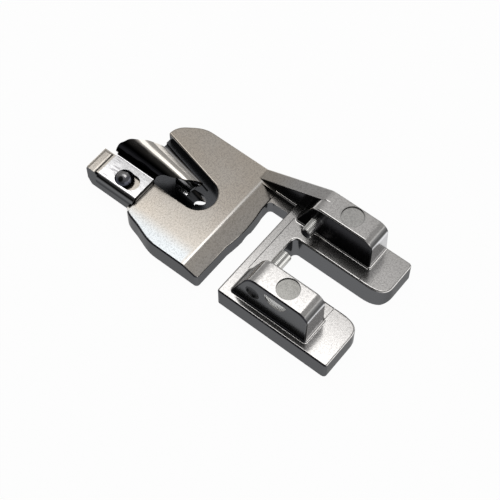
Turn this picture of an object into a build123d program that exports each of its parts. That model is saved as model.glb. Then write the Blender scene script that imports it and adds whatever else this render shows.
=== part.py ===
from build123d import *
import math
import os

# Overall size of the foot, in millimetres
overall_length = 41.35
sole_width = 18.0
plate_thickness = 3.05
overall_height = 8.55

# Rounded outer edges of the casting
cast_edge = 0.25

# Needle line, measured from the middle of the sole towards the far side
needle_offset = 0.525

# Lengths from the front tip, or from the rear, to each feature
tip_to_toe = 4.70
tip_to_tab_root = 8.40
tip_to_ramp = 18.40
tip_to_crease = 19.00
tip_to_toe_rear = 21.30
tip_to_bar = 24.55
tip_to_bar_rear = 27.40
tip_to_step_line = 25.70
tip_to_lug = 25.92
tip_to_pin = 29.20
rear_to_lug = 3.95

# Front tab and its lip
tab_near_reach = 6.20
tab_step = 0.37
lip_length = 1.60
lip_rise = 0.18
lip_round = 0.45
lip_chamfer_height = 1.20
lip_chamfer_length = 0.60

# Outline of the toe
toe_corner_width = 3.70
toe_corner_length = 4.60
toe_corner_bulge = 0.70
toe_shoulder_length = 5.90
toe_shoulder_bulge = 0.62
toe_shoulder_start = 0.80
toe_rear_corner = 0.50
toe_rear_bulge = 0.30
toe_bulge_half = 3.60
bevel_drop = 0.85
crease_round = 0.70

# Scroll slot in the toe
slot_end_radius = 2.43
slot_flare = 14.0
slot_depth = 1.55
slot_end_margin = 2.75
ledge_width = 0.55
ledge_height = 0.35
slot_edge_round = 0.22

# Hem tunnel and hem groove under the sole
tunnel_radius = 1.05
tunnel_front_margin = 5.65
tunnel_length = 5.00
tunnel_start_height = 2.20
groove_radius = 1.30
groove_sink = 0.95

# Needle slot and crossbar
needle_slot_far_reach = 5.15
needle_ledge_width = 1.08
needle_ledge_tip = 0.40
needle_ledge_start = 0.45
needle_corner = 0.60
bar_corner = 1.00

# Rear gap and prongs
gap_half_width = 2.45
gap_draft = 7.5
gap_corner = 0.70
prong_corner_width = 1.90
prong_corner_length = 3.00
prong_corner_extra = 0.20
prong_outer_round = 0.55
prong_near_round = 0.35
sled_rear_length = 0.70
sled_rear_rise = 0.30

# Lugs
lug_gap_half = 4.625
near_lug_width = 3.65
far_lug_top_inset = 0.35
lug_draft = 2.0
lug_front_lean = 1.75
lug_front_height = 3.85
lug_front_flat = 2.05
lug_rear_round = 1.50
lug_foot_round = 0.30
mark_diameter = 2.95
mark_depth = 0.18
mark_from_lug_rear = 4.33
near_mark_inset = 1.90
far_mark_inset = 1.65
pocket_radius = 1.62
pocket_depth = 0.25
pocket_from_pin = 3.40
pocket_drop = 0.95

# Step lines in front of and behind the lugs
step_line_width = 0.16
step_line_depth = 0.12

# Rib that runs up to the far lug
rib_width = 1.85
rib_top_reach = 3.05
rib_top_round = 2.00
rib_inner_edge = 0.20

# Stub pins, each with a thicker end pressed into its lug
pin_diameter = 1.60
pin_press_diameter = 2.05
pin_height = 6.00
near_pin_free = 3.05
far_pin_free = 2.48
pin_end_chamfer = 0.12
pin_end_recess = 0.15

# Hemming scroll
sheet_thickness = 0.45
bend_radius = 0.50
flange_bend = 0.65
strip_near_gap = 0.05
strip_rear_gap = 0.12
strip_front_inset = 0.35
flange_drop = 1.42
strip_slot_width = 2.40
strip_slot_length = 3.40
strip_slot_rear_margin = 0.75
wall_far_reach = 2.50
mouth_radius = 2.50
exit_radius = 1.27
under_stretch = 1.25
curl_shrink = 0.45
curl_end_angle = 335.0

# Scroll sheet, how far its two rims lie behind the front tip at each turn of the curl
rim_angles = (0, 30, 60, 90, 110, 130, 150, 180, 215, 255, 295, 335)
front_rim = (1.70, 2.00, 2.94, 4.70, 5.90, 7.10, 7.65, 8.20, 9.00, 9.90, 10.60, 11.20)
rear_rim = (8.45, 9.10, 11.20, 12.70, 13.25, 13.75, 14.00, 13.80, 13.00, 12.60, 12.90, 13.10)
skin_angle_step = 12
skin_columns = 6
angle_nudge = 0.5
along_nudge = 0.01

# Scroll rivet
rivet_head_radius = 1.28
rivet_head_height = 0.95
rivet_shank_radius = 0.80
rivet_shank_depth = 1.60
rivet_from_slot_rear = 2.30
rivet_side_reach = 4.60

# Positions worked out from the sizes
half_length = overall_length / 2
half_width = sole_width / 2
front_y = -half_length
rear_y = half_length
far_x = -half_width
near_x = half_width
needle_x = -needle_offset
toe_front_y = front_y + tip_to_toe
tab_root_y = front_y + tip_to_tab_root
ramp_y = front_y + tip_to_ramp
crease_y = front_y + tip_to_crease
toe_rear_y = front_y + tip_to_toe_rear
bar_front_y = front_y + tip_to_bar
bar_rear_y = front_y + tip_to_bar_rear
lug_front_y = front_y + tip_to_lug
lug_rear_y = rear_y - rear_to_lug
pin_y = front_y + tip_to_pin
tab_far_x = needle_x + slot_end_radius
tab_near_x = needle_x + tab_near_reach
tab_top_z = plate_thickness + tab_step
near_lug_inner_x = needle_x + lug_gap_half
near_lug_outer_x = near_lug_inner_x + near_lug_width
far_lug_inner_x = needle_x - lug_gap_half
far_lug_outer_x = far_x + far_lug_top_inset
slot_centre_y = crease_y - slot_end_margin - slot_end_radius
beam_inner_x = needle_x - needle_slot_far_reach - needle_ledge_width
past = overall_height
tiny = sheet_thickness / 10


def box_between(x0, x1, y0, y1, z0, z1):
    size = (x1 - x0, y1 - y0, z1 - z0)
    middle = ((x0 + x1) / 2, (y0 + y1) / 2, (z0 + z1) / 2)
    return Pos(*middle) * Box(*size)


def prism_up(wire_edges, z0, height, taper=0.0):
    face = make_face(wire_edges)
    return extrude(Pos(0, 0, z0) * face, height, dir=(0, 0, 1), taper=taper)


def side_prism(points, x0, x1):
    wire = Polyline(*[(x0, y, z) for y, z in points], close=True)
    return extrude(make_face(wire), x1 - x0, dir=(1, 0, 0))


def cylinder_along_x(x0, x1, y, z, radius):
    shape = Cylinder(radius, x1 - x0)
    return Pos((x0 + x1) / 2, y, z) * Rot(0, 90, 0) * shape


def toe_blank():
    corner_end = (far_x + toe_corner_width, toe_front_y)
    corner_start = (far_x, toe_front_y + toe_corner_length)
    corner_mid_x = (corner_end[0] + corner_start[0]) / 2 - toe_corner_bulge
    corner_mid_y = (corner_end[1] + corner_start[1]) / 2 - toe_corner_bulge
    shoulder_start = (tab_near_x, tab_root_y - toe_shoulder_start)
    shoulder_end = (near_x, tab_root_y + toe_shoulder_length)
    shoulder_mid_x = (shoulder_start[0] + shoulder_end[0]) / 2 + toe_shoulder_bulge
    shoulder_mid_y = (shoulder_start[1] + shoulder_end[1]) / 2 - toe_shoulder_bulge
    edges = Polyline((far_x, toe_rear_y), corner_start)
    edges += Spline(
        corner_start,
        (corner_mid_x, corner_mid_y),
        corner_end,
        tangents=((0, -1), (1, 0)),
    )
    edges += Polyline(corner_end, (tab_near_x, toe_front_y), shoulder_start)
    edges += Spline(
        shoulder_start,
        (shoulder_mid_x, shoulder_mid_y),
        shoulder_end,
        tangents=((1, 0), (0, 1)),
    )
    edges += Polyline(shoulder_end, (near_x, toe_rear_y), (far_x, toe_rear_y))
    blank = prism_up(edges, 0, plate_thickness)
    rear_corner = blank.edges().filter_by(Axis.Z).group_by(Axis.Y)[-1].sort_by(Axis.X)[-1]
    blank = fillet(rear_corner, toe_rear_corner) + toe_rear_bulge_piece()
    blank -= bevel_cut()
    blank = fillet(toe_top_edges(blank), cast_edge)
    crease = blank.edges().filter_by(Axis.X).filter_by_position(Axis.Y, crease_y - tiny, crease_y + tiny)
    blank = fillet(crease, crease_round)
    slot = scroll_slot_cut()
    toe = blank - slot
    rim = new_edges(blank, slot, combined=toe)
    rim = rim.filter_by_position(Axis.Z, plate_thickness - tiny, plate_thickness + tiny)
    return fillet(rim, slot_edge_round)


def toe_top_edges(blank):
    """Edges round the top of the toe, apart from those that the side beam joins."""
    half_way = (plate_thickness + bevel_drop) / 2
    edges = []
    for edge in blank.edges().filter_by_position(Axis.Z, half_way, plate_thickness + tiny):
        place = edge.center()
        beside_beam = place.X < beam_inner_x + tiny and place.Y > crease_y + tiny
        on_crease = abs(place.Y - crease_y) < tiny
        if not beside_beam and not on_crease:
            edges.append(edge)
    return edges


def toe_rear_bulge_piece():
    left = needle_x - toe_bulge_half
    right = needle_x + toe_bulge_half
    edge = ThreePointArc(
        (left, toe_rear_y),
        (needle_x, toe_rear_y + toe_rear_bulge),
        (right, toe_rear_y),
    )
    edge += Line((right, toe_rear_y), (left, toe_rear_y))
    return prism_up(edge, 0, plate_thickness)


def tab_blank():
    tab = box_between(tab_far_x, tab_near_x, front_y, tab_root_y, 0, tab_top_z)
    bend_edge = tab.edges().filter_by(Axis.Y).group_by(Axis.Z)[-1].sort_by(Axis.X)[-1]
    tab = fillet(bend_edge, flange_bend - sheet_thickness / 2)
    lip_top = tab_top_z + lip_rise
    lip = box_between(tab_far_x, tab_near_x, front_y, front_y + lip_length, 0, lip_top)
    lip_edges = lip.edges().filter_by(Axis.X).group_by(Axis.Z)[-1]
    lip_edges += lip.edges().filter_by(Axis.Y).group_by(Axis.Z)[-1].sort_by(Axis.X)[:1]
    lip = fillet(lip_edges, lip_round)
    chamfer_points = [
        (front_y - tiny, -tiny),
        (front_y + lip_chamfer_length, -tiny),
        (front_y - tiny, lip_chamfer_height),
    ]
    under = side_prism(chamfer_points, tab_far_x - past, tab_near_x + past)
    return (tab + lip) - under


def scroll_slot_cut():
    angle = math.radians(slot_flare)
    near_wall_x = needle_x + slot_end_radius
    tangent = (
        needle_x - slot_end_radius * math.cos(angle),
        slot_centre_y + slot_end_radius * math.sin(angle),
    )
    run = tangent[1] - front_y
    far_front = (tangent[0] - run * math.tan(angle), front_y)
    rear_point = (needle_x, slot_centre_y + slot_end_radius)
    edges = Line(far_front, tangent)
    edges += ThreePointArc(tangent, rear_point, (near_wall_x, slot_centre_y))
    edges += Polyline((near_wall_x, slot_centre_y), (near_wall_x, front_y), far_front)
    floor_z = plate_thickness - slot_depth
    upper = prism_up(edges, floor_z, past)
    # Lower step beside the far wall
    step = ledge_width / math.cos(angle)
    shifted = [
        (far_front[0] + step, far_front[1]),
        (tangent[0] + step, tangent[1] - step),
        (near_wall_x, tangent[1] - step),
        (near_wall_x, front_y),
    ]
    lower = prism_up(Polyline(*shifted, close=True), floor_z - ledge_height, slot_depth)
    return upper + lower


def hem_tunnel_cut():
    start_y = slot_centre_y + slot_end_radius - tunnel_front_margin
    end_y = start_y + tunnel_length
    start = Vector(needle_x, start_y, tunnel_start_height)
    end = Vector(needle_x, end_y, 0)
    way = end - start
    plane = Plane(origin=start, z_dir=way)
    tunnel = extrude(plane * Circle(tunnel_radius), way.length)
    groove_start = end_y - tunnel_radius
    groove = Pos(needle_x, groove_start, -groove_sink) * Rot(-90, 0, 0) * Cylinder(
        groove_radius,
        bar_rear_y + past - groove_start,
        align=(Align.CENTER, Align.CENTER, Align.MIN),
    )
    return tunnel + groove


def bevel_cut():
    slope = bevel_drop / (toe_rear_y - crease_y)
    points = [
        (crease_y, plate_thickness),
        (bar_front_y, plate_thickness - slope * (bar_front_y - crease_y)),
        (bar_front_y, past),
        (crease_y, past),
    ]
    return side_prism(points, beam_inner_x, near_x + past)


def low_beam():
    inner = needle_x - needle_slot_far_reach + needle_corner * 2
    low_z = plate_thickness - bevel_drop
    return box_between(far_x, inner, toe_rear_y, bar_front_y, 0, low_z)


def needle_slot_cut():
    far_end = needle_x - needle_slot_far_reach
    lower = box_between(far_end, near_x + past, toe_rear_y, bar_front_y, -past, past)
    corners = lower.edges().filter_by(Axis.Z).group_by(Axis.X)[0]
    lower = fillet(corners, needle_corner) - toe_rear_bulge_piece()
    # Shallow ledge between the slot and the side beam
    ledge_x = far_end - needle_ledge_width
    tip_x = far_end - needle_ledge_tip
    open_x = far_end + needle_corner
    start_y = crease_y + needle_ledge_start
    turn = bar_corner * (1 - math.sqrt(2) / 2)
    edges = Polyline((ledge_x, bar_front_y - bar_corner), (ledge_x, start_y), (tip_x, toe_rear_y))
    edges += Polyline((tip_x, toe_rear_y), (open_x, toe_rear_y), (open_x, bar_front_y))
    edges += Line((open_x, bar_front_y), (ledge_x + bar_corner, bar_front_y))
    edges += ThreePointArc(
        (ledge_x + bar_corner, bar_front_y),
        (ledge_x + turn, bar_front_y - turn),
        (ledge_x, bar_front_y - bar_corner),
    )
    return lower + prism_up(edges, plate_thickness - bevel_drop, past)


def rear_blank():
    blank = box_between(far_x, near_x, bar_front_y, rear_y, 0, plate_thickness)
    edges = blank.edges().filter_by(Axis.Z)
    rear_edges = edges.group_by(Axis.Y)[-1]
    blank = fillet(rear_edges.sort_by(Axis.X)[0], prong_outer_round)
    edges = blank.edges().filter_by(Axis.Z)
    near_edges = edges.group_by(Axis.X)[-1]
    blank = fillet(near_edges, prong_near_round)
    blank += box_between(far_x, beam_inner_x, crease_y, bar_front_y, 0, plate_thickness)
    blank -= gap_cut()
    edges = blank.edges().filter_by_position(Axis.Z, plate_thickness - tiny, plate_thickness + tiny)
    return fillet(edges.filter_by_position(Axis.Y, crease_y + tiny, rear_y + tiny), cast_edge)


def gap_outline(z, inset, corner_extra):
    near_gap = needle_x + gap_half_width - inset
    far_gap = needle_x - gap_half_width + inset
    width = prong_corner_width + inset + corner_extra
    length = prong_corner_length + corner_extra
    y0 = bar_rear_y + inset
    y1 = rear_y
    y2 = rear_y + prong_corner_length
    corner = gap_corner
    turn = corner * (1 - math.sqrt(2) / 2)
    edges = Line((far_gap, y0 + corner, z), (far_gap, y1 - length, z))
    edges += Spline(
        (far_gap, y1 - length, z),
        (far_gap - width, y1, z),
        tangents=((0, 1, 0), (-1, 0, 0)),
    )
    edges += Line((far_gap - width, y1, z), (far_gap - width, y2, z))
    edges += Line((far_gap - width, y2, z), (near_gap + width, y2, z))
    edges += Line((near_gap + width, y2, z), (near_gap + width, y1, z))
    edges += Spline(
        (near_gap + width, y1, z),
        (near_gap, y1 - length, z),
        tangents=((-1, 0, 0), (0, -1, 0)),
    )
    edges += Line((near_gap, y1 - length, z), (near_gap, y0 + corner, z))
    edges += ThreePointArc(
        (near_gap, y0 + corner, z),
        (near_gap - turn, y0 + turn, z),
        (near_gap - corner, y0, z),
    )
    edges += Line((near_gap - corner, y0, z), (far_gap + corner, y0, z))
    edges += ThreePointArc(
        (far_gap + corner, y0, z),
        (far_gap + turn, y0 + turn, z),
        (far_gap, y0 + corner, z),
    )
    return make_face(edges)


def gap_cut():
    inset = plate_thickness * math.tan(math.radians(gap_draft))
    bottom = gap_outline(0, inset, prong_corner_extra)
    top = gap_outline(plate_thickness, 0, 0)
    middle = loft([bottom, top], ruled=True)
    below = extrude(bottom, past, dir=(0, 0, -1))
    above = extrude(top, past, dir=(0, 0, 1))
    return middle + below + above


def sled_cut():
    points = [
        (rear_y - sled_rear_length, -tiny),
        (rear_y + tiny, -tiny),
        (rear_y + tiny, sled_rear_rise),
    ]
    return side_prism(points, far_x - past, near_x + past)


def lug_profile():
    z0 = plate_thickness / 2
    z1 = plate_thickness
    top = overall_height
    front_lean_y = lug_front_y + lug_front_lean
    front_lean_z = z1 + lug_front_height
    flat_start_y = front_lean_y + lug_front_flat
    rear_arc_y = lug_rear_y - lug_rear_round
    sunk_front_y = lug_front_y - (z1 - z0) * lug_front_lean / lug_front_height
    edges = Line((0, sunk_front_y, z0), (0, front_lean_y, front_lean_z))
    edges += Spline(
        (0, front_lean_y, front_lean_z),
        (0, flat_start_y, top),
        tangents=((0, lug_front_lean, lug_front_height), (0, 1, 0)),
    )
    edges += Line((0, flat_start_y, top), (0, rear_arc_y, top))
    turn = lug_rear_round * (1 - math.sqrt(2) / 2)
    edges += ThreePointArc(
        (0, rear_arc_y, top),
        (0, lug_rear_y - turn, top - turn),
        (0, lug_rear_y, top - lug_rear_round),
    )
    edges += Polyline((0, lug_rear_y, top - lug_rear_round), (0, lug_rear_y, z0), (0, sunk_front_y, z0))
    return make_face(edges)


def leaning_section(inner_low, inner_high, outer_low, outer_high):
    """A long block whose side walls lean between the plate and the top of the lugs."""
    corners = [
        (inner_low, front_y, plate_thickness / 2),
        (outer_low, front_y, plate_thickness / 2),
        (outer_low, front_y, plate_thickness),
        (outer_high, front_y, overall_height),
        (inner_high, front_y, overall_height),
        (inner_low, front_y, plate_thickness),
    ]
    return extrude(make_face(Polyline(*corners, close=True)), overall_length, dir=(0, 1, 0))


def near_lug():
    start = near_lug_inner_x
    foot_x = lug_wall_x(plate_thickness / 2)
    side = extrude(Pos(start, 0, 0) * lug_profile(), foot_x - start, dir=(1, 0, 0))
    corners = [
        (start, front_y, plate_thickness / 2),
        (foot_x, front_y, plate_thickness / 2),
        (near_lug_outer_x, front_y, overall_height),
        (start, front_y, overall_height),
    ]
    section = extrude(make_face(Polyline(*corners, close=True)), overall_length, dir=(0, 1, 0))
    lug = side & section
    edges = lug.edges().filter_by_position(Axis.Z, plate_thickness + tiny, overall_height + tiny)
    return fillet(edges.filter_by(Axis.X, reverse=True), cast_edge)


def far_lug_blank():
    side = extrude(Pos(far_x, 0, 0) * lug_profile(), far_lug_inner_x - far_x, dir=(1, 0, 0))
    return side & leaning_section(far_lug_inner_x, far_lug_inner_x, far_x, far_lug_outer_x)


def rib_blank():
    top_y = lug_front_y + rib_top_reach
    points = [
        (ramp_y, plate_thickness / 2),
        (ramp_y, plate_thickness),
        (top_y, overall_height),
        (top_y + rib_width, overall_height),
        (top_y + rib_width, plate_thickness / 2),
    ]
    inner_low = far_x + rib_width
    inner_high = far_lug_outer_x + rib_width
    blank = side_prism(points, far_x, inner_high)
    top_edge = blank.edges().filter_by_position(Axis.Z, overall_height - tiny, overall_height + tiny)
    blank = fillet(top_edge.sort_by(Axis.Y)[0], rib_top_round)
    rib = blank & leaning_section(inner_low, inner_high, far_x, far_lug_outer_x)
    inner = rib.edges().filter_by_position(Axis.X, far_x + rib_width / 2, inner_high + tiny)
    inner = inner.filter_by_position(Axis.Z, plate_thickness + tiny, overall_height + tiny)
    inner = inner.filter_by_position(Axis.Y, ramp_y, top_y + rib_width - tiny)
    return fillet(inner.filter_by(Axis.X, reverse=True), rib_inner_edge)


def far_lug_and_rib():
    lug = far_lug_blank() + rib_blank()
    edges = lug.edges().filter_by_position(Axis.Z, plate_thickness + tiny, overall_height + tiny)
    outer = edges.filter_by_position(Axis.X, far_x, far_lug_outer_x + tiny)
    inner = edges.filter_by_position(Axis.X, far_lug_inner_x - tiny, far_lug_inner_x + tiny)
    return fillet(outer + inner, cast_edge)


def lug_foot_edges(body, x0, x1):
    """Edges where the walls of one lug meet the top of the plate."""
    edges = body.edges().filter_by_position(Axis.Z, plate_thickness - tiny, plate_thickness + tiny)
    edges = edges.filter_by_position(Axis.X, x0 - tiny, x1 + tiny)
    return edges.filter_by_position(Axis.Y, lug_front_y - tiny, lug_rear_y + tiny)


def rear_half():
    """Crossbar, prongs, lugs and rib."""
    rear = rear_blank() + near_lug()
    near_foot = lug_foot_edges(rear, near_lug_inner_x, lug_wall_x(plate_thickness))
    rear = fillet(near_foot, lug_foot_round)
    rear += far_lug_and_rib()
    return fillet(lug_foot_edges(rear, far_lug_outer_x, far_lug_inner_x), lug_foot_round)


def flange_room():
    low_z = tab_top_z + sheet_thickness - flange_drop - strip_near_gap
    return box_between(tab_near_x, near_x, toe_front_y, tab_root_y, low_z, past)


def foot_body_shape():
    body = toe_blank() + tab_blank()
    body -= flange_room()
    body += rear_half()
    body += low_beam()
    body -= needle_slot_cut()
    body -= hem_tunnel_cut()
    body -= sled_cut()
    mark_y = lug_rear_y - mark_from_lug_rear
    marks = [near_lug_outer_x - near_mark_inset, far_lug_outer_x + far_mark_inset]
    for mark_x in marks:
        body -= Pos(mark_x, mark_y, overall_height) * Cylinder(mark_diameter / 2, mark_depth * 2)
    # Bores that hold the pressed ends of the pins
    bore = pin_press_diameter / 2
    body -= cylinder_along_x(far_x - past, far_lug_inner_x + tiny, pin_y, pin_height, bore)
    body -= cylinder_along_x(near_lug_inner_x - tiny, near_x + past, pin_y, pin_height, bore)
    body -= wall_pocket()
    # Fine step lines across the plate in front of and behind the lugs
    for line_y in (front_y + tip_to_step_line, lug_rear_y):
        body -= box_between(far_lug_inner_x, near_lug_inner_x, line_y - step_line_width / 2,
                            line_y + step_line_width / 2, plate_thickness - step_line_depth, past)
    body -= rivet_bore()
    return body


def lug_wall_x(z):
    return near_lug_outer_x + (overall_height - z) * math.tan(math.radians(lug_draft))


def wall_pocket():
    """Shallow half-round pocket in the outer wall of the near lug, flat at the top."""
    centre_y = pin_y + pocket_from_pin
    top_z = overall_height - pocket_drop
    back_x = lug_wall_x(top_z) - pocket_depth
    disc = cylinder_along_x(back_x, near_x, centre_y, top_z, pocket_radius)
    below = box_between(back_x, near_x, centre_y - past, centre_y + past, top_z - past, top_z)
    return disc & below


def near_pin_outer_x():
    return lug_wall_x(pin_height + pin_press_diameter / 2) - pin_end_recess


def far_pin_outer_x():
    return far_lug_outer_x + pin_end_recess


def rivet_place():
    strip_rear = tab_root_y - strip_rear_gap
    slot_rear = strip_rear - strip_slot_rear_margin
    return (needle_x + rivet_side_reach, slot_rear - rivet_from_slot_rear)


def rivet_bore():
    x, y = rivet_place()
    depth = rivet_shank_depth
    return Pos(x, y, tab_top_z - depth / 2) * Cylinder(rivet_shank_radius, depth)


def rivet_shape():
    x, y = rivet_place()
    seat_z = tab_top_z + sheet_thickness
    ball_radius = (rivet_head_radius ** 2 + rivet_head_height ** 2) / (2 * rivet_head_height)
    ball_z = seat_z + rivet_head_height - ball_radius
    head = Pos(x, y, ball_z) * Sphere(ball_radius)
    keep = Pos(x, y, seat_z + ball_radius) * Cylinder(ball_radius * 2, ball_radius * 2)
    shank_base = tab_top_z - rivet_shank_depth
    shank_height = seat_z - shank_base + tiny
    shank = Pos(x, y, shank_base + shank_height / 2) * Cylinder(rivet_shank_radius, shank_height)
    return (head & keep) + shank


def pin_shape(outer_x, wall_x, tip_x):
    press_ends = sorted((outer_x, wall_x))
    stub_ends = sorted((wall_x, tip_x))
    pressed = cylinder_along_x(*press_ends, pin_y, pin_height, pin_press_diameter / 2)
    stub = cylinder_along_x(*stub_ends, pin_y, pin_height, pin_diameter / 2)
    rims = stub.edges().filter_by(GeomType.CIRCLE).sort_by(Axis.X)
    tip = rims[0] if tip_x < wall_x else rims[-1]
    return pressed + chamfer(tip, pin_end_chamfer)


def rim_value(table, angle):
    for index in range(len(rim_angles) - 1):
        a0 = rim_angles[index]
        a1 = rim_angles[index + 1]
        if angle <= a1:
            share = (angle - a0) / (a1 - a0)
            smooth = share * share * (3 - 2 * share)
            blend = (share + smooth) / 2
            return table[index] + (table[index + 1] - table[index]) * blend
    return table[-1]


def scroll_point(angle, along):
    y0 = front_y + rim_value(front_rim, angle)
    y1 = front_y + rim_value(rear_rim, angle)
    y = y0 + (y1 - y0) * along
    taper = (y - front_y - front_rim[0]) / (max(rear_rim) - front_rim[0])
    radius = mouth_radius + (exit_radius - mouth_radius) * taper
    centre_x = needle_x + wall_far_reach - radius - bend_radius
    centre_z = tab_top_z + sheet_thickness / 2 + bend_radius
    turn = math.radians(angle)
    size = radius
    stretch = 1.0
    if angle > 180:
        share = (angle - 180) / (curl_end_angle - 180)
        size = radius * (1 - curl_shrink * share)
        stretch = under_stretch
    x = centre_x + size * math.cos(turn)
    z = centre_z + size * stretch * math.sin(turn)
    return (x, y, z)


def skin_point(angle, along, shift):
    here = Vector(*scroll_point(angle, along))
    angle_0 = max(angle - angle_nudge, rim_angles[0])
    angle_1 = min(angle + angle_nudge, curl_end_angle)
    along_0 = max(along - along_nudge, 0)
    along_1 = min(along + along_nudge, 1)
    round_way = Vector(*scroll_point(angle_1, along)) - Vector(*scroll_point(angle_0, along))
    long_way = Vector(*scroll_point(angle, along_1)) - Vector(*scroll_point(angle, along_0))
    return here + round_way.cross(long_way).normalized() * shift


def scroll_skin(shift):
    angle_count = round((curl_end_angle - rim_angles[0]) / skin_angle_step)
    wires = []
    for column in range(skin_columns + 1):
        along = column / skin_columns
        points = []
        for row in range(angle_count + 1):
            angle = rim_angles[0] + (curl_end_angle - rim_angles[0]) * row / angle_count
            points.append(skin_point(angle, along, shift))
        wires.append(Wire([Edge.make_spline(points)]))
    return Shell.make_loft(wires, ruled=False).faces()[0]


def edge_distance(first, second):
    straight = (first @ 0 - second @ 0).length + (first @ 1 - second @ 1).length
    turned = (first @ 0 - second @ 1).length + (first @ 1 - second @ 0).length
    return (first.center() - second.center()).length + min(straight, turned)


def scroll_sheet_solid():
    inner = scroll_skin(-sheet_thickness / 2)
    outer = scroll_skin(sheet_thickness / 2)
    faces = [inner, outer]
    for edge in inner.edges():
        partner = min(outer.edges(), key=lambda other: edge_distance(edge, other))
        faces.append(Face.make_surface_from_curves(edge, partner))
    return Solid(Shell(faces))


def strip_solid():
    half = sheet_thickness / 2
    wall_x = needle_x + wall_far_reach - bend_radius
    bend_x = wall_x + bend_radius
    y0 = front_y + front_rim[0] + strip_front_inset
    y1 = tab_root_y - strip_rear_gap
    mid_y = (y0 + y1) / 2
    mid_z = tab_top_z + half
    edge_x = tab_near_x + strip_near_gap + half
    low_z = tab_top_z + sheet_thickness - flange_drop
    turn = 1 - math.sqrt(2) / 2
    path = Line((edge_x, mid_y, low_z), (edge_x, mid_y, mid_z - flange_bend))
    path += ThreePointArc(
        (edge_x, mid_y, mid_z - flange_bend),
        (edge_x - flange_bend * turn, mid_y, mid_z - flange_bend * turn),
        (edge_x - flange_bend, mid_y, mid_z),
    )
    path += Line((edge_x - flange_bend, mid_y, mid_z), (bend_x, mid_y, mid_z))
    path += ThreePointArc(
        (bend_x, mid_y, mid_z),
        (wall_x + bend_radius * turn, mid_y, mid_z + bend_radius * turn),
        (wall_x, mid_y, mid_z + bend_radius),
    )
    path += Line((wall_x, mid_y, mid_z + bend_radius), (wall_x, mid_y, mid_z + bend_radius + half))
    section = Plane(origin=(edge_x, mid_y, low_z), x_dir=(1, 0, 0), z_dir=(0, 0, 1))
    strip = sweep(section * Rectangle(sheet_thickness, y1 - y0), path=path)
    slot_x = rivet_place()[0]
    slot_y = y1 - strip_slot_rear_margin - strip_slot_length / 2
    slot = Pos(slot_x, slot_y, tab_top_z) * Rot(0, 0, 90) * SlotOverall(strip_slot_length, strip_slot_width)
    return strip - extrude(slot, sheet_thickness * 2, both=True)


def hemming_scroll_shape():
    return scroll_sheet_solid() + strip_solid()


if __name__ == "__main__":
    os.makedirs("parts", exist_ok=True)
    body = foot_body_shape()
    print("body", body.volume, len(body.solids()), body.is_valid)
    export_step(body, "parts/foot_body.step")
    rivet = rivet_shape()
    export_step(rivet, "parts/scroll_rivet.step")
    near_pin = pin_shape(near_pin_outer_x(), near_lug_inner_x, near_lug_inner_x - near_pin_free)
    far_pin = pin_shape(far_pin_outer_x(), far_lug_inner_x, far_lug_inner_x + far_pin_free)
    export_step(near_pin, "parts/near_pin.step")
    export_step(far_pin, "parts/far_pin.step")
    sheet = hemming_scroll_shape()
    print("sheet", sheet.volume, len(sheet.solids()), sheet.is_valid)
    export_step(sheet, "parts/hemming_scroll.step")
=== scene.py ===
import math

import bpy
from mathutils import Matrix, Vector


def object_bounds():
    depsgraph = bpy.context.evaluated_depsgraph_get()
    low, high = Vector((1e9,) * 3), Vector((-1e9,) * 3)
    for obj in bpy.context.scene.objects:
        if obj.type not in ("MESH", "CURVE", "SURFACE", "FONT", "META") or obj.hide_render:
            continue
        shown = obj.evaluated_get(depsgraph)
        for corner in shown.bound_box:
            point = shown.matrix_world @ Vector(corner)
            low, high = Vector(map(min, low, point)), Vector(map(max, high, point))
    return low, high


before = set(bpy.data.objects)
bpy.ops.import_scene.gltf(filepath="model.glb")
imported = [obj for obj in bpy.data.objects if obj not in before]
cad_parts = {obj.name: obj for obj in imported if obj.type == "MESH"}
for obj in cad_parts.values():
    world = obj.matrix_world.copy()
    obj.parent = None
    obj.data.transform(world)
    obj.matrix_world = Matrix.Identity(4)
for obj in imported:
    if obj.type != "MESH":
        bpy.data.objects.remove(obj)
cad_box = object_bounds()

MM = 0.001

# Outer faces of the foot
NEAR_SIDE = cad_box[1][0]
FAR_SIDE = cad_box[0][0]
FRONT_TIP = cad_box[0][1]
REAR_END = cad_box[1][1]
LUG_TOP = cad_box[1][2]

# Camera, at the photograph's viewing angle
CAMERA_TARGET = Vector((2.0, 3.525, 3.05)) * MM
CAMERA_AZIMUTH = 128.63
CAMERA_ELEVATION = 59.61
CAMERA_DISTANCE = 167.375 * MM
CAMERA_CLIP = (5.0 * MM, 20.0)
FOCAL_PIXELS = 1339.0
PICTURE_PIXELS = 500.0
SENSOR_WIDTH = 36.0


def deselect_all():
    if bpy.context.mode != "OBJECT":
        bpy.ops.object.mode_set(mode="OBJECT")
    bpy.ops.object.select_all(action="DESELECT")


# Shader nodes
def add_node(tree, kind, **values):
    """Each value goes to the input of that name, or else to the node's own setting."""
    node = tree.nodes.new(kind)
    for key, value in values.items():
        if key in node.inputs:
            node.inputs[key].default_value = value
        else:
            setattr(node, key, value)
    return node


def split_axes(tree, socket):
    split = add_node(tree, "ShaderNodeSeparateXYZ")
    tree.links.new(socket, split.inputs[0])
    return split.outputs


def map_range(tree, value, span, result, interpolation="LINEAR"):
    """Turns the span of a value into the span of the result."""
    node = add_node(tree, "ShaderNodeMapRange", interpolation_type=interpolation)
    tree.links.new(value, node.inputs["Value"])
    node.inputs["From Min"].default_value = span[0]
    node.inputs["From Max"].default_value = span[1]
    node.inputs["To Min"].default_value = result[0]
    node.inputs["To Max"].default_value = result[1]
    return node.outputs["Result"]


def soft_step(tree, value, span, result=(0.0, 1.0)):
    return map_range(tree, value, span, result, "SMOOTHSTEP")


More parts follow.
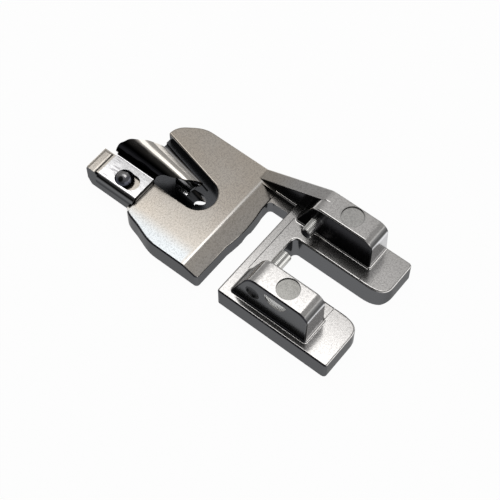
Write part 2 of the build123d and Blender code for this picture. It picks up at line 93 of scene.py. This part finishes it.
def combine(tree, operation, first, second=0.0):
    """first and second are numbers or output sockets."""
    node = add_node(tree, "ShaderNodeMath", operation=operation)
    for index, value in enumerate((first, second)):
        if isinstance(value, float):
            node.inputs[index].default_value = value
        else:
            tree.links.new(value, node.inputs[index])
    return node.outputs[0]


def multiply(tree, first, second):
    return combine(tree, "MULTIPLY", first, second)


def outside(tree, mask):
    return combine(tree, "SUBTRACT", 1.0, mask)


def mix_colour(tree, factor, first, second):
    """first and second are colours or output sockets."""
    mix = add_node(tree, "ShaderNodeMix", data_type="RGBA")
    tree.links.new(factor, mix.inputs["Factor"])
    for socket, value in (("A", first), ("B", second)):
        target = [s for s in mix.inputs if s.name == socket and s.type == "RGBA"][0]
        if isinstance(value, tuple):
            target.default_value = (*value, 1.0)
        else:
            tree.links.new(value, target)
    return [s for s in mix.outputs if s.type == "RGBA"][0]


def shade_colour(tree, colour, level):
    """Multiplies a colour by a grey level."""
    return mix_colour(tree, level, (0.0, 0.0, 0.0), colour)


def bump(tree, height, distance):
    node = add_node(tree, "ShaderNodeBump", Distance=distance, Strength=1.0)
    tree.links.new(height, node.inputs["Height"])
    return node.outputs["Normal"]


# Shader node groups
def new_group(name, inputs, outputs):
    group = bpy.data.node_groups.new(name, "ShaderNodeTree")
    for socket_name, kind, value in inputs:
        socket = group.interface.new_socket(socket_name, in_out="INPUT", socket_type=kind)
        socket.default_value = value
    for socket_name in outputs:
        group.interface.new_socket(socket_name, in_out="OUTPUT", socket_type="NodeSocketFloat")
    start = group.nodes.new("NodeGroupInput")
    end = group.nodes.new("NodeGroupOutput")
    return group, start, end


def build_z_mask(name, coordinate, low, high):
    """0 where the coordinate's Z is below Low, 1 where it is above High."""
    group, start, end = new_group(
        name,
        [("Low", "NodeSocketFloat", low), ("High", "NodeSocketFloat", high)],
        ["Mask"],
    )
    place = add_node(group, "ShaderNodeTexCoord")
    step = add_node(group, "ShaderNodeMapRange", interpolation_type="SMOOTHSTEP")
    group.links.new(split_axes(group, place.outputs[coordinate])["Z"], step.inputs["Value"])
    group.links.new(start.outputs["Low"], step.inputs["From Min"])
    group.links.new(start.outputs["High"], step.inputs["From Max"])
    group.links.new(step.outputs["Result"], end.inputs["Mask"])
    return group


def build_grain():
    """Fine cast or tumbled grain as a height, with broad soft patches as a mask."""
    group, start, end = new_group(
        "metal_grain",
        [
            ("Grain per metre", "NodeSocketFloat", 4000.0),
            ("Patches per metre", "NodeSocketFloat", 220.0),
        ],
        ["Height", "Patches"],
    )
    place = add_node(group, "ShaderNodeTexCoord")
    fine = add_node(group, "ShaderNodeTexNoise", Detail=4.0, Roughness=0.6)
    broad = add_node(group, "ShaderNodeTexNoise", Detail=3.0, Roughness=0.55)
    for texture, rate in ((fine, "Grain per metre"), (broad, "Patches per metre")):
        group.links.new(place.outputs["Object"], texture.inputs["Vector"])
        group.links.new(start.outputs[rate], texture.inputs["Scale"])
    group.links.new(fine.outputs["Fac"], end.inputs["Height"])
    group.links.new(broad.outputs["Fac"], end.inputs["Patches"])
    return group


def build_round_mask(name, kept_axes):
    """Inside is 1 within Radius of Centre, and Line is 1 at that radius. An axis kept at 0 is left out."""
    group, start, end = new_group(
        name,
        [
            ("Centre", "NodeSocketVector", (0.0, 0.0, 0.0)),
            ("Radius", "NodeSocketFloat", 1.0 * MM),
            ("Softness", "NodeSocketFloat", 0.1 * MM),
        ],
        ["Inside", "Line"],
    )
    place = add_node(group, "ShaderNodeTexCoord")
    flat = add_node(group, "ShaderNodeVectorMath", operation="MULTIPLY")
    flat.inputs[1].default_value = kept_axes
    reach = add_node(group, "ShaderNodeVectorMath", operation="DISTANCE")
    group.links.new(place.outputs["Object"], flat.inputs[0])
    group.links.new(flat.outputs["Vector"], reach.inputs[0])
    group.links.new(start.outputs["Centre"], reach.inputs[1])
    past = combine(group, "SUBTRACT", reach.outputs["Value"], start.outputs["Radius"])
    for output, distance in (("Inside", past), ("Line", combine(group, "ABSOLUTE", past))):
        fade = add_node(group, "ShaderNodeMapRange", interpolation_type="SMOOTHSTEP")
        fade.inputs["From Min"].default_value = 0.0
        fade.inputs["To Min"].default_value = 1.0
        fade.inputs["To Max"].default_value = 0.0
        group.links.new(distance, fade.inputs["Value"])
        group.links.new(start.outputs["Softness"], fade.inputs["From Max"])
        group.links.new(fade.outputs["Result"], end.inputs[output])
    return group


GROUPS = {
    "upward": build_z_mask("upward_mask", "Normal", 0.25, 0.70),
    "height": build_z_mask("height_mask", "Object", 1.7 * MM, 2.0 * MM),
    "grain": build_grain(),
    "disc": build_round_mask("disc_mask", (1.0, 1.0, 0.0)),
    "ball": build_round_mask("ball_mask", (1.0, 1.0, 1.0)),
}


def group_node(tree, key, **values):
    """Each value goes to the group's input of that name, with blanks for underscores."""
    node = tree.nodes.new("ShaderNodeGroup")
    node.node_tree = GROUPS[key]
    for name, value in values.items():
        node.inputs[name.replace("_", " ")].default_value = value
    return node


def upward_mask(tree, low, high):
    return group_node(tree, "upward", Low=low, High=high).outputs["Mask"]


def height_mask(tree, low, high):
    return group_node(tree, "height", Low=low, High=high).outputs["Mask"]


def new_metal(name, grazing_tint):
    """grazing_tint is how light the metal turns when seen along its surface."""
    material = bpy.data.materials.new(name)
    material.use_nodes = True
    tree = material.node_tree
    shader = tree.nodes["Principled BSDF"]
    shader.inputs["Metallic"].default_value = 1.0
    shader.inputs["Specular Tint"].default_value = (grazing_tint, grazing_tint, grazing_tint, 1.0)
    return material, tree, shader


# Tones of the cast foot, its own colours and the painted light and shade
CAST_GRAZING_TINT = 0.5
TOP_WARM = (0.59, 0.525, 0.45)
TOP_COOL = (0.57, 0.53, 0.48)
TOP_PAINTED_HIGHLIGHT = (0.62, 0.65, 0.665)
TOP_REAR = (0.63, 0.612, 0.595)
CREASE_HIGHLIGHT_TONE = (0.86, 0.84, 0.81)
PAINTED_ROUND_SHADE = (0.10, 0.10, 0.10)
PAINTED_FLANK_SHADE = (0.125, 0.127, 0.132)
PAINTED_REARWARD_LIGHT = (0.97, 0.97, 0.99)
PAINTED_INNER_SHADE = (0.035, 0.035, 0.038)
PAINTED_EDGE_SHADE = (0.035, 0.035, 0.04)
PAINTED_RECESS_SHADE = (0.085, 0.087, 0.092)
NEAR_MARK_TONE = (0.27, 0.265, 0.25)
FAR_MARK_TONE = (0.56, 0.55, 0.53)
MARK_LINE_TONE = (0.16, 0.16, 0.16)
MARK_LINE_DEPTH = 0.75
POCKET_HIGHLIGHT_TONE = (0.96, 0.96, 0.95)

# Grain of the cast foot
CAST_GRAIN_RATE = 3900.0
CAST_PATCH_RATE = 150.0
CAST_GRAIN_HEIGHT = 0.002 * MM
PATCH_SPREAD = (0.2, 0.8)
SPECKLE_SPREAD = (0.32, 0.68)
SPECKLE_LEVEL = (0.80, 1.12)
CAST_ROUGHNESS = (0.17, 0.22)
POCKET_ROUGHNESS = 0.6

# Places on the cast foot
PLATE_TOP = 3.05 * MM
AT_PLATE_TOP = (PLATE_TOP - 0.25 * MM, PLATE_TOP - 0.15 * MM)
ABOVE_PLATE = (PLATE_TOP + 0.05 * MM, PLATE_TOP + 0.35 * MM)
CREASE_PLACE = FRONT_TIP + 19.0 * MM
CREASE_WIDTH = (0.05 * MM, 0.30 * MM)
CREASE_HIGHLIGHT_STRENGTH = (0.55, 0.0)
PAINTED_HIGHLIGHT_ACROSS = (NEAR_SIDE - 3.4 * MM, NEAR_SIDE - 1.0 * MM)
PAINTED_HIGHLIGHT_END = (CREASE_PLACE - 0.725 * MM, CREASE_PLACE - 0.025 * MM)
REAR_BLEND = (-3.0 * MM, 5.0 * MM)
NEAR_PART = (2.4 * MM, 2.8 * MM)
FAR_PART = (-2.0 * MM, 0.0)
DEEP_RECESS = (1.7 * MM, 2.0 * MM)
LUG_CAP = (LUG_TOP - 0.55 * MM, LUG_TOP - 0.35 * MM)
MARK_Y = REAR_END - 8.28 * MM
NEAR_MARK_CENTRE = (NEAR_SIDE - 3.15 * MM, MARK_Y, 0.0)
FAR_MARK_CENTRE = (FAR_SIDE + 2.0 * MM, MARK_Y, 0.0)
MARK_RADIUS = 1.475 * MM
MARK_LINE_WIDTH = 0.07 * MM
POCKET_CENTRE = (NEAR_SIDE - 1.467 * MM, REAR_END - 8.75 * MM, LUG_TOP - 0.95 * MM)
POCKET_RADIUS = 1.64 * MM
POCKET_SOFTNESS = 0.03 * MM
POCKET_BACK = (NEAR_SIDE - 1.35 * MM, NEAR_SIDE - 1.33 * MM)

# How far a face of the cast foot leans, from 0 to 1 along an axis
UPWARD_LEAN = (0.25, 0.70)
ROUND_LEAN = (0.45, 0.75)
REARWARD_LEAN = (0.90, 0.99)
NEARWARD_LEAN = (0.3, 0.6)
EDGE_SIDE_LEAN = (0.22, 0.42)
EDGE_UP_LEAN = (0.12, 0.3)


def cast_top(tree, where, grain, speckle, above_plate):
    """Satin upper faces, with a painted highlight on the near part of the toe and a painted highlight line
    where it turns down to its bevel.
    """
    patches = soft_step(tree, grain.outputs["Patches"], PATCH_SPREAD)
    tone = mix_colour(tree, patches, TOP_WARM, TOP_COOL)
    ahead = soft_step(tree, where["Y"], PAINTED_HIGHLIGHT_END, (1.0, 0.0))
    toe_highlight = multiply(tree, soft_step(tree, where["X"], PAINTED_HIGHLIGHT_ACROSS), ahead)
    tone = mix_colour(tree, toe_highlight, tone, TOP_PAINTED_HIGHLIGHT)
    tone = mix_colour(tree, soft_step(tree, where["Y"], REAR_BLEND), tone, TOP_REAR)
    tone = shade_colour(tree, tone, speckle)
    past_crease = combine(tree, "ABSOLUTE", combine(tree, "SUBTRACT", where["Y"], CREASE_PLACE))
    crease = soft_step(tree, past_crease, CREASE_WIDTH, CREASE_HIGHLIGHT_STRENGTH)
    plate = height_mask(tree, *AT_PLATE_TOP)
    plate = multiply(tree, plate, outside(tree, above_plate))
    return mix_colour(tree, multiply(tree, crease, plate), tone, CREASE_HIGHLIGHT_TONE)


def cast_walls(tree, where, facing, above_plate, rounded):
    """Upright faces, painted dark as shade, with painted shade darker still on the inner side of the far
    lug and a painted lighter reflection at the rear of both lugs.
    """
    rearward = multiply(tree, soft_step(tree, facing["Y"], REARWARD_LEAN), above_plate)
    tone = mix_colour(tree, rounded, PAINTED_FLANK_SHADE, PAINTED_ROUND_SHADE)
    tone = mix_colour(tree, rearward, tone, PAINTED_REARWARD_LIGHT)
    far_part = soft_step(tree, where["X"], FAR_PART, (1.0, 0.0))
    nearward = soft_step(tree, facing["X"], NEARWARD_LEAN)
    inner = multiply(tree, multiply(tree, nearward, far_part), above_plate)
    return mix_colour(tree, inner, tone, PAINTED_INNER_SHADE)


def near_edge_mask(tree, where, facing):
    """Rounded edges between the tops and the near side, painted dark as shade."""
    tilted = soft_step(tree, facing["X"], EDGE_SIDE_LEAN)
    tilted = multiply(tree, tilted, soft_step(tree, facing["Z"], EDGE_UP_LEAN))
    return multiply(tree, soft_step(tree, where["X"], NEAR_PART), tilted)


def add_marks(tree, body, speckle, lug_cap):
    """The plain round mark on each lug, with a fine line round it."""
    for centre, tone in ((NEAR_MARK_CENTRE, NEAR_MARK_TONE), (FAR_MARK_CENTRE, FAR_MARK_TONE)):
        disc = group_node(tree, "disc", Centre=centre, Radius=MARK_RADIUS, Softness=MARK_LINE_WIDTH)
        inside = multiply(tree, disc.outputs["Inside"], lug_cap)
        line = multiply(tree, disc.outputs["Line"], lug_cap)
        body = mix_colour(tree, inside, body, shade_colour(tree, tone, speckle))
        body = mix_colour(tree, multiply(tree, line, MARK_LINE_DEPTH), body, MARK_LINE_TONE)
    return body


def pocket_mask(tree, where, lug_cap):
    """The shallow pocket in the near lug's outer wall, which gets a bright painted highlight."""
    pocket = group_node(tree, "ball", Centre=POCKET_CENTRE, Radius=POCKET_RADIUS, Softness=POCKET_SOFTNESS)
    sunk = soft_step(tree, where["X"], POCKET_BACK, (1.0, 0.0))
    return multiply(tree, pocket.outputs["Inside"], multiply(tree, sunk, outside(tree, lug_cap)))


def satin_casting():
    material, tree, shader = new_metal("satin_casting", CAST_GRAZING_TINT)
    place = add_node(tree, "ShaderNodeTexCoord")
    where = split_axes(tree, place.outputs["Object"])
    facing = split_axes(tree, place.outputs["Normal"])
    grain = group_node(tree, "grain", Grain_per_metre=CAST_GRAIN_RATE, Patches_per_metre=CAST_PATCH_RATE)
    speckle = soft_step(tree, grain.outputs["Height"], SPECKLE_SPREAD, SPECKLE_LEVEL)
    upward = upward_mask(tree, *UPWARD_LEAN)
    above_plate = height_mask(tree, *ABOVE_PLATE)
    lug_cap = height_mask(tree, *LUG_CAP)
    # Rounded rear of the lugs, which runs from their tops into their rear walls, painted dark as shade
    rounded = multiply(tree, soft_step(tree, facing["Y"], ROUND_LEAN), above_plate)
    top = cast_top(tree, where, grain, speckle, above_plate)
    top = mix_colour(tree, rounded, top, PAINTED_ROUND_SHADE)
    walls = cast_walls(tree, where, facing, above_plate, rounded)
    # Tops keep the metal's own tone, upright faces take the painted shade
    body = mix_colour(tree, upward, walls, top)
    body = mix_colour(tree, near_edge_mask(tree, where, facing), body, PAINTED_EDGE_SHADE)
    # Recesses below the top of the plate, painted dark as shade
    deep = multiply(tree, outside(tree, height_mask(tree, *DEEP_RECESS)), upward)
    body = mix_colour(tree, deep, body, PAINTED_RECESS_SHADE)
    body = add_marks(tree, body, speckle, lug_cap)
    pocket = pocket_mask(tree, where, lug_cap)
    # The pocket is painted near white as a highlight
    body = mix_colour(tree, pocket, body, POCKET_HIGHLIGHT_TONE)
    tree.links.new(body, shader.inputs["Base Color"])
    rough = map_range(tree, grain.outputs["Patches"], PATCH_SPREAD, CAST_ROUGHNESS)
    rough = combine(tree, "ADD", rough, multiply(tree, pocket, POCKET_ROUGHNESS))
    tree.links.new(rough, shader.inputs["Roughness"])
    relief = multiply(tree, grain.outputs["Height"], upward)
    tree.links.new(bump(tree, relief, CAST_GRAIN_HEIGHT), shader.inputs["Normal"])
    return material


# Finish of the hemming scroll, with painted shade on its sides and crown
SHEET_GRAZING_TINT = 0.3
SHEET_TOP = (0.97, 0.96, 0.965)
SHEET_CROWN_SHADE = (0.56, 0.53, 0.49)
SHEET_SCUFF = (0.46, 0.45, 0.465)
SHEET_FAR_SIDE_SHADE = (0.26, 0.26, 0.265)
SHEET_WALL_SHADE = (0.012, 0.012, 0.014)
SHEET_UPWARD_LEAN = (0.72, 0.92)
SHEET_NEARWARD_LEAN = (0.0, 0.35)
SHEET_CROWN_HEIGHT = (4.2 * MM, 4.6 * MM)
SHEET_WALL_HEIGHT = (3.5 * MM, 4.0 * MM)
SHEET_PATCH_RATE = 700.0
SHEET_ROUGHNESS = (0.09, 0.17)
SHEET_WAVE_HEIGHT = 0.005 * MM
SCRATCH_TURN = 0.5
SCRATCH_RATES = (4200.0, 500.0, 500.0)
SCRATCH_SPREAD = (0.45, 0.66)
SMALL_PATCH_SPREAD = (0.35, 0.65)
GLOSS_SPREAD = (0.3, 0.7)


def bright_sheet():
    material, tree, shader = new_metal("bright_sheet", SHEET_GRAZING_TINT)
    place = add_node(tree, "ShaderNodeTexCoord")
    facing = split_axes(tree, place.outputs["Normal"])
    grain = group_node(tree, "grain", Patches_per_metre=SHEET_PATCH_RATE)
    patches = soft_step(tree, grain.outputs["Patches"], SMALL_PATCH_SPREAD)
    # Fine scratches along the strip
    stretch = add_node(tree, "ShaderNodeMapping", Rotation=(0.0, 0.0, SCRATCH_TURN), Scale=SCRATCH_RATES)
    scratch = add_node(tree, "ShaderNodeTexNoise", Scale=1.0, Detail=2.0, Roughness=0.5)
    tree.links.new(place.outputs["Object"], stretch.inputs["Vector"])
    tree.links.new(stretch.outputs["Vector"], scratch.inputs["Vector"])
    scuffs = multiply(tree, soft_step(tree, scratch.outputs["Fac"], SCRATCH_SPREAD), patches)
    top = mix_colour(tree, scuffs, SHEET_TOP, SHEET_SCUFF)
    # The crown is painted darker, as shade that dulls its highlight
    top = mix_colour(tree, height_mask(tree, *SHEET_CROWN_HEIGHT), top, SHEET_CROWN_SHADE)
    # Steep sides are painted as shade: near wall nearly black, far side dark grey, lower sides as the
    # foot's flanks
    nearward = soft_step(tree, facing["X"], SHEET_NEARWARD_LEAN)
    side = mix_colour(tree, nearward, SHEET_FAR_SIDE_SHADE, SHEET_WALL_SHADE)
    side = mix_colour(tree, height_mask(tree, *SHEET_WALL_HEIGHT), PAINTED_FLANK_SHADE, side)
    tone = mix_colour(tree, upward_mask(tree, *SHEET_UPWARD_LEAN), side, top)
    tree.links.new(tone, shader.inputs["Base Color"])
    rough = map_range(tree, grain.outputs["Patches"], GLOSS_SPREAD, SHEET_ROUGHNESS)
    tree.links.new(rough, shader.inputs["Roughness"])
    tree.links.new(bump(tree, grain.outputs["Patches"], SHEET_WAVE_HEIGHT), shader.inputs["Normal"])
    return material


# Finish of the rivet, with its sides painted dark as shade
RIVET_GRAZING_TINT = 0.5
RIVET_TOP = (0.36, 0.35, 0.34)
RIVET_SCUFF = (0.17, 0.17, 0.19)
RIVET_SIDE_SHADE = (0.05, 0.053, 0.068)
RIVET_UPWARD_LEAN = (0.55, 0.95)
RIVET_PATCH_RATE = 900.0
RIVET_ROUGHNESS = (0.09, 0.20)


def rivet_steel():
    material, tree, shader = new_metal("rivet_steel", RIVET_GRAZING_TINT)
    grain = group_node(tree, "grain", Patches_per_metre=RIVET_PATCH_RATE)
    patches = soft_step(tree, grain.outputs["Patches"], SMALL_PATCH_SPREAD)
    tone = mix_colour(tree, patches, RIVET_TOP, RIVET_SCUFF)
    # The rivet's sides are painted dark as shade
    tone = mix_colour(tree, upward_mask(tree, *RIVET_UPWARD_LEAN), RIVET_SIDE_SHADE, tone)
    tree.links.new(tone, shader.inputs["Base Color"])
    rough = map_range(tree, grain.outputs["Patches"], GLOSS_SPREAD, RIVET_ROUGHNESS)
    tree.links.new(rough, shader.inputs["Roughness"])
    return material


# Finish of the stub pins
PIN_GRAZING_TINT = 0.7
PIN_RIDGE = (0.50, 0.495, 0.48)
PIN_GROOVE = (0.62, 0.61, 0.58)
PIN_END_SHADE = (0.045, 0.046, 0.05)
PIN_END_LEAN = (0.5, 0.9)
PIN_ROUGHNESS = 0.2
PIN_RING_RATE = 1500.0
PIN_RING_HEIGHT = 0.004 * MM


def turned_steel():
    """Fine turned rings round the pins, whose end faces are painted dark as shade."""
    material, tree, shader = new_metal("turned_steel", PIN_GRAZING_TINT)
    place = add_node(tree, "ShaderNodeTexCoord")
    facing = split_axes(tree, place.outputs["Normal"])
    rings = add_node(tree, "ShaderNodeTexWave", bands_direction="X", Scale=PIN_RING_RATE, Distortion=2.0)
    tree.links.new(place.outputs["Object"], rings.inputs["Vector"])
    tone = mix_colour(tree, rings.outputs["Fac"], PIN_GROOVE, PIN_RIDGE)
    end_face = soft_step(tree, combine(tree, "ABSOLUTE", facing["X"]), PIN_END_LEAN)
    tone = mix_colour(tree, end_face, tone, PIN_END_SHADE)
    tree.links.new(tone, shader.inputs["Base Color"])
    shader.inputs["Roughness"].default_value = PIN_ROUGHNESS
    tree.links.new(bump(tree, rings.outputs["Fac"], PIN_RING_HEIGHT), shader.inputs["Normal"])
    return material


# Each piece's material
MATERIALS = {
    "casting": satin_casting(),
    "sheet": bright_sheet(),
    "rivet": rivet_steel(),
    "steel": turned_steel(),
}
NODE_FINISHES = {
    "foot_body": "casting",
    "hemming_scroll": "sheet",
    "scroll_rivet": "rivet",
    "near_pin": "steel",
    "far_pin": "steel",
}
for node, finish in NODE_FINISHES.items():
    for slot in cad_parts[node].material_slots:
        slot.material = MATERIALS[finish]


# Camera
def add_camera():
    azimuth = math.radians(CAMERA_AZIMUTH)
    elevation = math.radians(CAMERA_ELEVATION)
    right = Vector((math.cos(azimuth), math.sin(azimuth), 0))
    back = Vector((
        math.sin(azimuth) * math.cos(elevation),
        -math.cos(azimuth) * math.cos(elevation),
        math.sin(elevation),
    ))
    turn = Matrix((right, back.cross(right), back)).transposed().to_4x4()
    turn.translation = CAMERA_TARGET + back * CAMERA_DISTANCE
    data = bpy.data.cameras.new("photo_camera")
    data.sensor_width = SENSOR_WIDTH
    data.lens = SENSOR_WIDTH * FOCAL_PIXELS / PICTURE_PIXELS
    data.clip_start, data.clip_end = CAMERA_CLIP
    camera = bpy.data.objects.new("photo_camera", data)
    bpy.context.scene.collection.objects.link(camera)
    camera.matrix_world = turn
    bpy.context.scene.camera = camera


# Floor
FLOOR_SIZE = 6.0
FLOOR_WHITE = 0.86
FLOOR_ROUGHNESS = 0.9
FLOOR_GLOW = 0.965


def add_floor():
    """A pale floor that looks evenly lit to the camera and in reflections."""
    deselect_all()
    bpy.ops.mesh.primitive_plane_add(size=FLOOR_SIZE, location=(0, 0, 0))
    floor = bpy.context.active_object
    floor.name = "studio_floor"
    material = bpy.data.materials.new("studio_floor")
    material.use_nodes = True
    tree = material.node_tree
    shader = tree.nodes["Principled BSDF"]
    shader.inputs["Base Color"].default_value = (FLOOR_WHITE, FLOOR_WHITE, FLOOR_WHITE, 1)
    shader.inputs["Roughness"].default_value = FLOOR_ROUGHNESS
    shader.inputs["Specular IOR Level"].default_value = 0.0
    path = add_node(tree, "ShaderNodeLightPath").outputs
    seen = combine(tree, "MAXIMUM", path["Is Camera Ray"], path["Is Glossy Ray"])
    seen = combine(tree, "MAXIMUM", seen, path["Is Transmission Ray"])
    glow = add_node(tree, "ShaderNodeEmission", Color=(1, 1, 1, 1), Strength=1.0)
    mix = add_node(tree, "ShaderNodeMixShader")
    tree.links.new(multiply(tree, seen, FLOOR_GLOW), mix.inputs[0])
    tree.links.new(shader.outputs[0], mix.inputs[1])
    tree.links.new(glow.outputs[0], mix.inputs[2])
    tree.links.new(mix.outputs[0], tree.nodes["Material Output"].inputs["Surface"])
    floor.data.materials.append(material)


# Softboxes, in millimetres: name, centre, the point each faces, width and height, radiance
SOFTBOXES = (
    ("front_softbox", (-29, -75, 150), (-29, -75, 0), (62, 60), 1.40),
    ("rear_softbox", (-29, -8, 150), (-29, -8, 0), (62, 74), 2.00),
    ("far_strip", (-226, -78, 99), (0, 0, 5), (20, 120), 1.3),
)


def add_area(name, centre, aim, size, radiance):
    """A rectangular softbox whose face has the given radiance."""
    width, height = (side * MM for side in size)
    data = bpy.data.lights.new(name, "AREA")
    data.shape = "RECTANGLE"
    data.size = width
    data.size_y = height
    data.energy = radiance * math.pi * width * height
    lamp = bpy.data.objects.new(name, data)
    bpy.context.scene.collection.objects.link(lamp)
    place = Vector(centre) * MM
    lamp.location = place
    lamp.rotation_euler = (Vector(aim) * MM - place).to_track_quat("-Z", "Y").to_euler()
    lamp.visible_camera = False


# Room
ROOM_LEVEL = 0.38
ROOM_GLOW = 0.13
ROOM_GLOW_FRONT = (-0.30, 0.30)
ROOM_GLOW_ABOVE = (0.40, 0.80)
REAR_RIM = 1.30
REAR_RIM_BEHIND = (0.50, 0.75)
REAR_RIM_LOW = (0.40, 0.60)
DARK_FLAG_WAY = (0.65, -0.33, 0.68)
DARK_FLAG_ANGLES = (37.0, 25.0)
DARK_FLAG_LEVEL = 0.05


def add_world():
    """A grey room, lighter above the front and low behind, with a dark flag on the operator's right."""
    world = bpy.data.worlds.new("studio")
    world.use_nodes = True
    bpy.context.scene.world = world
    tree = world.node_tree
    place = add_node(tree, "ShaderNodeTexCoord")
    way = split_axes(tree, place.outputs["Generated"])
    front = soft_step(tree, way["Y"], ROOM_GLOW_FRONT, (1.0, 0.0))
    above = soft_step(tree, way["Z"], ROOM_GLOW_ABOVE)
    glow = multiply(tree, multiply(tree, front, above), ROOM_GLOW)
    behind = soft_step(tree, way["Y"], REAR_RIM_BEHIND, (0.0, REAR_RIM))
    low = soft_step(tree, way["Z"], REAR_RIM_LOW, (1.0, 0.0))
    level = combine(tree, "ADD", glow, ROOM_LEVEL)
    level = combine(tree, "ADD", level, multiply(tree, behind, low))
    towards = add_node(tree, "ShaderNodeVectorMath", operation="DOT_PRODUCT")
    towards.inputs[1].default_value = DARK_FLAG_WAY
    tree.links.new(place.outputs["Generated"], towards.inputs[0])
    flag_span = [math.cos(math.radians(angle)) for angle in DARK_FLAG_ANGLES]
    flag = soft_step(tree, towards.outputs["Value"], flag_span, (1.0, DARK_FLAG_LEVEL))
    background = tree.nodes["Background"]
    background.inputs["Strength"].default_value = 1.0
    tree.links.new(multiply(tree, level, flag), background.inputs["Color"])


add_camera()
add_floor()
for softbox in SOFTBOXES:
    add_area(*softbox)
add_world()

bpy.context.scene.view_settings.view_transform = "Standard"
